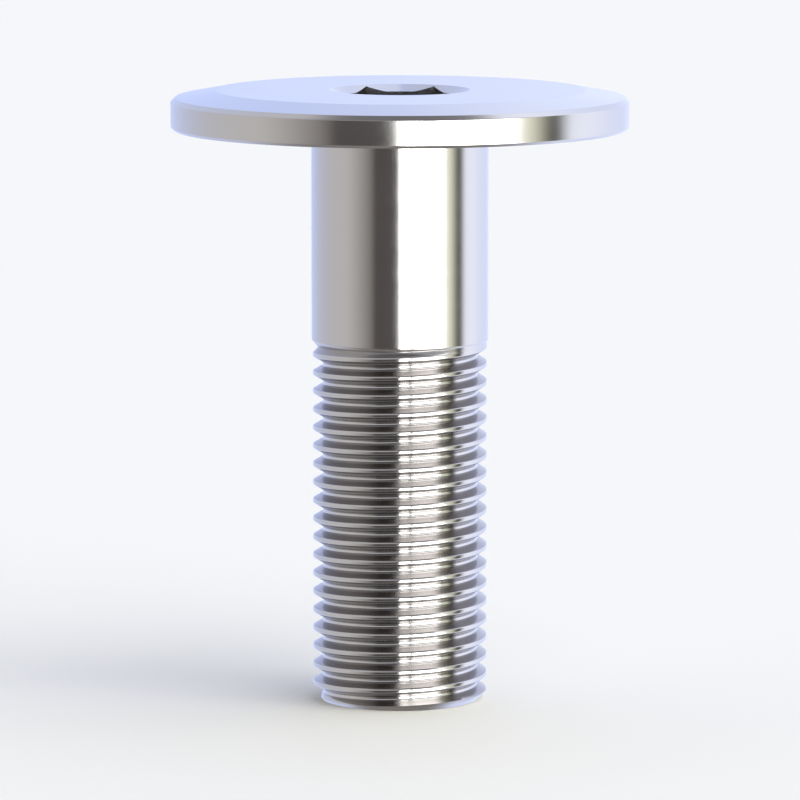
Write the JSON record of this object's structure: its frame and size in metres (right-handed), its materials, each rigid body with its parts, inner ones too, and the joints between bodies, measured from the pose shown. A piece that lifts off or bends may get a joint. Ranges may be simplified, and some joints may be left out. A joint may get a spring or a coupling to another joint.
{
  "type": "hollow bolt",
  "caption": "Hollow bolt with a wide, thin flange head whose flat face is bevelled towards the rim, a hexagon socket, a plain shank, a fine machine thread and a bore that runs right through it.",
  "frame": {"origin": "middle of the flat end at the threaded tip", "axes": "+Z along the bolt's axis, from the tip towards the head; a flat of the hexagon socket faces -Y"},
  "size_m": [0.031, 0.031, 0.0417],
  "materials": {
    "polished_steel": "turned and polished stainless steel, with fine lathe marks round the axis"
  },
  "bodies": {
    "root": {"bolt": "polished_steel"}
  },
  "joints": []
}
